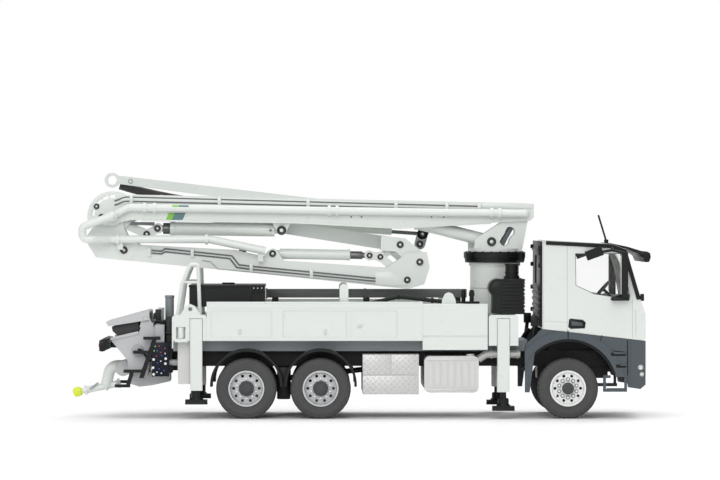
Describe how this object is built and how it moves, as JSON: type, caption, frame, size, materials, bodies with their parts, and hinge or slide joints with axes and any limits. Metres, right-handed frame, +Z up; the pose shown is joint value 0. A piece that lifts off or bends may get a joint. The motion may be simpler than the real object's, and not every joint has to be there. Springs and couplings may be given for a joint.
{
  "type": "scale model of a truck-mounted concrete pump",
  "caption": "Die-cast style scale model of a truck-mounted concrete pump with folded boom, outriggers, hopper, steered front wheels and twin rear wheels.",
  "frame": {"origin": "on the ground under the middle of the bounding box", "axes": "+X forward, +Y the truck's left side, +Z up"},
  "size_m": [0.2114, 0.0572, 0.09],
  "materials": {
    "white_paint": "satin",
    "black_plastic": "satin",
    "grey_plastic": "satin",
    "silver_paint": "satin",
    "tyre_rubber": "matt",
    "wheel_paint": "satin",
    "rod_steel": "satin",
    "window_plastic": "gloss",
    "soft_rubber": "matt",
    "cab_plastic": "matt",
    "hopper_paint": "satin",
    "axle_steel": "matt"
  },
  "bodies": {
    "truck": {"chassis": "black_plastic", "front_axle": "black_plastic", "subframe": "grey_plastic", "cab_shell": "white_paint", "cab_windows": "window_plastic", "cab_interior": "cab_plastic", "cab_trim": "grey_plastic", "cab_fittings": "black_plastic", "deck": "white_paint", "outrigger_boxes": "white_paint", "mudguards": "black_plastic", "tanks_and_boxes": "silver_paint", "deck_tank": "black_plastic", "hopper": "hopper_paint", "hopper_apron": "soft_rubber", "pump_frame": "black_plastic", "outlet_pipe": "white_paint", "intake_filter": "black_plastic", "column": "white_paint", "slew_ring": "black_plastic"},
    "knuckle_left": {"knuckle_left": "axle_steel"},
    "knuckle_right": {"knuckle_right": "axle_steel"},
    "front_wheel_left": {"front_tyre_left": "tyre_rubber", "front_rim_left": "wheel_paint"},
    "front_wheel_right": {"front_tyre_right": "tyre_rubber", "front_rim_right": "wheel_paint"},
    "rear_axle_1": {"rear_tyres_1": "tyre_rubber", "rear_wheels_1": "wheel_paint"},
    "rear_axle_2": {"rear_tyres_2": "tyre_rubber", "rear_wheels_2": "wheel_paint"},
    "turret": {"turret": "white_paint"},
    "arm_1": {"arm_1": "white_paint"},
    "arm_2": {"arm_2": "white_paint"},
    "arm_3": {"arm_3": "white_paint"},
    "arm_4": {"arm_4": "white_paint"},
    "arm_5": {"arm_5": "white_paint", "end_hose": "soft_rubber"},
    "lift_barrel": {"lift_barrel": "white_paint"},
    "lift_rod": {"lift_rod": "rod_steel"},
    "fold_a_barrel": {"fold_a_barrel": "white_paint"},
    "fold_a_rod": {"fold_a_rod": "rod_steel"},
    "fold_a_lever": {"fold_a_lever": "white_paint"},
    "fold_a_link": {"fold_a_link": "white_paint"},
    "fold_b_barrel": {"fold_b_barrel": "white_paint"},
    "fold_b_rod": {"fold_b_rod": "rod_steel"},
    "fold_b_lever": {"fold_b_lever": "white_paint"},
    "fold_b_link": {"fold_b_link": "white_paint"},
    "fold_c_barrel": {"fold_c_barrel": "white_paint"},
    "fold_c_rod": {"fold_c_rod": "rod_steel"},
    "fold_d_barrel": {"fold_d_barrel": "white_paint"},
    "fold_d_rod": {"fold_d_rod": "rod_steel"},
    "outrigger_front_left": {"outrigger_front_left": "white_paint"},
    "outrigger_front_right": {"outrigger_front_right": "white_paint"},
    "outrigger_rear_left": {"outrigger_rear_left": "white_paint"},
    "outrigger_rear_right": {"outrigger_rear_right": "white_paint"},
    "foot_front_left": {"foot_front_left": "black_plastic"},
    "foot_front_right": {"foot_front_right": "black_plastic"},
    "foot_rear_left": {"foot_rear_left": "black_plastic"},
    "foot_rear_right": {"foot_rear_right": "black_plastic"},
    "hopper_hood": {"hopper_hood": "hopper_paint"}
  },
  "joints": [
    {"name": "steer_left", "type": "hinge", "parent": "truck", "child": "knuckle_left", "pos_m": [0.0761, 0.015, 0.011], "axis": [0, 0, 1], "range_deg": [-25, 25]},
    {"name": "steer_right", "type": "hinge", "parent": "truck", "child": "knuckle_right", "pos_m": [0.0761, -0.015, 0.011], "axis": [0, 0, 1], "range_deg": [-25, 25]},
    {"name": "front_wheel_left_turn", "type": "hinge", "parent": "knuckle_left", "child": "front_wheel_left", "pos_m": [0.0761, 0.021, 0.011], "axis": [0, 1, 0], "continuous": true},
    {"name": "front_wheel_right_turn", "type": "hinge", "parent": "knuckle_right", "child": "front_wheel_right", "pos_m": [0.0761, -0.021, 0.011], "axis": [0, 1, 0], "continuous": true},
    {"name": "rear_axle_1_turn", "type": "hinge", "parent": "truck", "child": "rear_axle_1", "pos_m": [-0.0139, 0, 0.011], "axis": [0, 1, 0], "continuous": true},
    {"name": "rear_axle_2_turn", "type": "hinge", "parent": "truck", "child": "rear_axle_2", "pos_m": [-0.0409, 0, 0.011], "axis": [0, 1, 0], "continuous": true},
    {"name": "boom_slew", "type": "hinge", "parent": "truck", "child": "turret", "pos_m": [0.0505, 0, 0.0605], "axis": [0, 0, 1], "range_deg": [-180, 180]},
    {"name": "boom_lift", "type": "hinge", "parent": "turret", "child": "arm_1", "pos_m": [0.0609, 0, 0.0748], "axis": [0, 1, 0], "range_deg": [0, 85]},
    {"name": "fold_2", "type": "hinge", "parent": "arm_1", "child": "arm_2", "pos_m": [-0.0906, 0, 0.0737], "axis": [0, 1, 0], "range_deg": [0, 180]},
    {"name": "fold_3", "type": "hinge", "parent": "arm_2", "child": "arm_3", "pos_m": [0.0227, 0, 0.0568], "axis": [0, 1, 0], "range_deg": [0, 180]},
    {"name": "fold_4", "type": "hinge", "parent": "arm_3", "child": "arm_4", "pos_m": [-0.078, 0.0135, 0.078], "axis": [0, 1, 0], "range_deg": [-180, 0]},
    {"name": "fold_5", "type": "hinge", "parent": "arm_4", "child": "arm_5", "pos_m": [0.027, 0.0172, 0.073], "axis": [0, 1, 0], "range_deg": [0, 180]},
    {"name": "lift_swing", "type": "hinge", "parent": "turret", "child": "lift_barrel", "pos_m": [0.0492, 0, 0.0643], "axis": [0, 1, 0], "range_deg": [0, 90]},
    {"name": "lift_stroke", "type": "slide", "parent": "lift_barrel", "child": "lift_rod", "axis": [-0.9694, 0, 0.2454], "range_m": [0, 0.022]},
    {"name": "fold_a_swing", "type": "hinge", "parent": "arm_1", "child": "fold_a_barrel", "pos_m": [-0.0283, 0, 0.0685], "axis": [0, 1, 0], "range_deg": [-20, 5]},
    {"name": "fold_a_stroke", "type": "slide", "parent": "fold_a_barrel", "child": "fold_a_rod", "axis": [-0.9999, 0, 0.0153], "range_m": [0, 0.03]},
    {"name": "fold_a_lever_turn", "type": "hinge", "parent": "arm_1", "child": "fold_a_lever", "pos_m": [-0.087, 0, 0.071], "axis": [0, 1, 0], "range_deg": [0, 150]},
    {"name": "fold_a_link_turn", "type": "hinge", "parent": "arm_2", "child": "fold_a_link", "pos_m": [-0.0864, 0, 0.0612], "axis": [0, 1, 0], "range_deg": [-60, 30]},
    {"name": "fold_b_swing", "type": "hinge", "parent": "arm_2", "child": "fold_b_barrel", "pos_m": [-0.0316, 0, 0.0599], "axis": [0, 1, 0], "range_deg": [-25, 10]},
    {"name": "fold_b_stroke", "type": "slide", "parent": "fold_b_barrel", "child": "fold_b_rod", "axis": [0.9998, 0, -0.0195], "range_m": [0, 0.025]},
    {"name": "fold_b_lever_turn", "type": "hinge", "parent": "arm_2", "child": "fold_b_lever", "pos_m": [0.0181, 0, 0.0502], "axis": [0, 1, 0], "range_deg": [0, 150]},
    {"name": "fold_b_link_turn", "type": "hinge", "parent": "arm_3", "child": "fold_b_link", "pos_m": [0.0155, 0, 0.0632], "axis": [0, 1, 0], "range_deg": [-150, 30]},
    {"name": "fold_c_swing", "type": "hinge", "parent": "arm_3", "child": "fold_c_barrel", "pos_m": [-0.024, 0.00915, 0.0744], "axis": [0, 1, 0], "range_deg": [-15, 15]},
    {"name": "fold_c_stroke", "type": "slide", "parent": "fold_c_barrel", "child": "fold_c_rod", "axis": [-0.9934, 0, 0.1146], "range_m": [-0.002, 0.012]},
    {"name": "fold_d_swing", "type": "hinge", "parent": "arm_4", "child": "fold_d_barrel", "pos_m": [-0.022, 0.0172, 0.0704], "axis": [0, 1, 0], "range_deg": [-20, 15]},
    {"name": "fold_d_stroke", "type": "slide", "parent": "fold_d_barrel", "child": "fold_d_rod", "axis": [0.9975, 0, -0.0711], "range_m": [-0.008, 0.008]},
    {"name": "outrigger_front_left_slide", "type": "slide", "parent": "truck", "child": "outrigger_front_left", "axis": [0, 1, 0], "range_m": [0, 0.014]},
    {"name": "foot_front_left_jack", "type": "slide", "parent": "outrigger_front_left", "child": "foot_front_left", "axis": [0, 0, -1], "range_m": [0, 0.006]},
    {"name": "outrigger_front_right_slide", "type": "slide", "parent": "truck", "child": "outrigger_front_right", "axis": [0, -1, 0], "range_m": [0, 0.014]},
    {"name": "foot_front_right_jack", "type": "slide", "parent": "outrigger_front_right", "child": "foot_front_right", "axis": [0, 0, -1], "range_m": [0, 0.006]},
    {"name": "outrigger_rear_left_slide", "type": "slide", "parent": "truck", "child": "outrigger_rear_left", "axis": [0, 1, 0], "range_m": [0, 0.014]},
    {"name": "foot_rear_left_jack", "type": "slide", "parent": "outrigger_rear_left", "child": "foot_rear_left", "axis": [0, 0, -1], "range_m": [0, 0.0084]},
    {"name": "outrigger_rear_right_slide", "type": "slide", "parent": "truck", "child": "outrigger_rear_right", "axis": [0, -1, 0], "range_m": [0, 0.014]},
    {"name": "foot_rear_right_jack", "type": "slide", "parent": "outrigger_rear_right", "child": "foot_rear_right", "axis": [0, 0, -1], "range_m": [0, 0.0084]},
    {"name": "hopper_hood_lid", "type": "hinge", "parent": "truck", "child": "hopper_hood", "pos_m": [-0.0778, 0, 0.0364], "axis": [0, 1, 0], "range_deg": [0, 75]}
  ],
  "couplings": [
    {"joint": "steer_right", "follows": "steer_left", "ratio": 1},
    {"joint": "boom_slew", "follows": "boom_lift", "ratio": -1.41},
    {"joint": "fold_2", "follows": "boom_lift", "ratio": 0.33},
    {"joint": "fold_3", "follows": "boom_lift", "ratio": 0.53},
    {"joint": "fold_4", "follows": "boom_lift", "ratio": -1.41},
    {"joint": "fold_5", "follows": "boom_lift", "ratio": 1.06},
    {"joint": "lift_swing", "follows": "boom_lift", "ratio": 0.968},
    {"joint": "lift_stroke", "follows": "boom_lift", "m_per_rad": 0.0147},
    {"joint": "fold_a_swing", "follows": "boom_lift", "ratio": -0.11608},
    {"joint": "fold_a_stroke", "follows": "boom_lift", "m_per_rad": 0.00273},
    {"joint": "fold_a_lever_turn", "follows": "boom_lift", "ratio": 0.4788},
    {"joint": "fold_a_link_turn", "follows": "boom_lift", "ratio": -0.00663},
    {"joint": "fold_b_swing", "follows": "boom_lift", "ratio": -0.11114},
    {"joint": "fold_b_stroke", "follows": "boom_lift", "m_per_rad": 0.00477},
    {"joint": "fold_b_lever_turn", "follows": "boom_lift", "ratio": 0.39064},
    {"joint": "fold_b_link_turn", "follows": "boom_lift", "ratio": -0.47288},
    {"joint": "fold_c_swing", "follows": "boom_lift", "ratio": 0.02592},
    {"joint": "fold_c_stroke", "follows": "boom_lift", "m_per_rad": 0.00606},
    {"joint": "fold_d_swing", "follows": "boom_lift", "ratio": -0.12169},
    {"joint": "fold_d_stroke", "follows": "boom_lift", "m_per_rad": -0.00327}
  ]
}
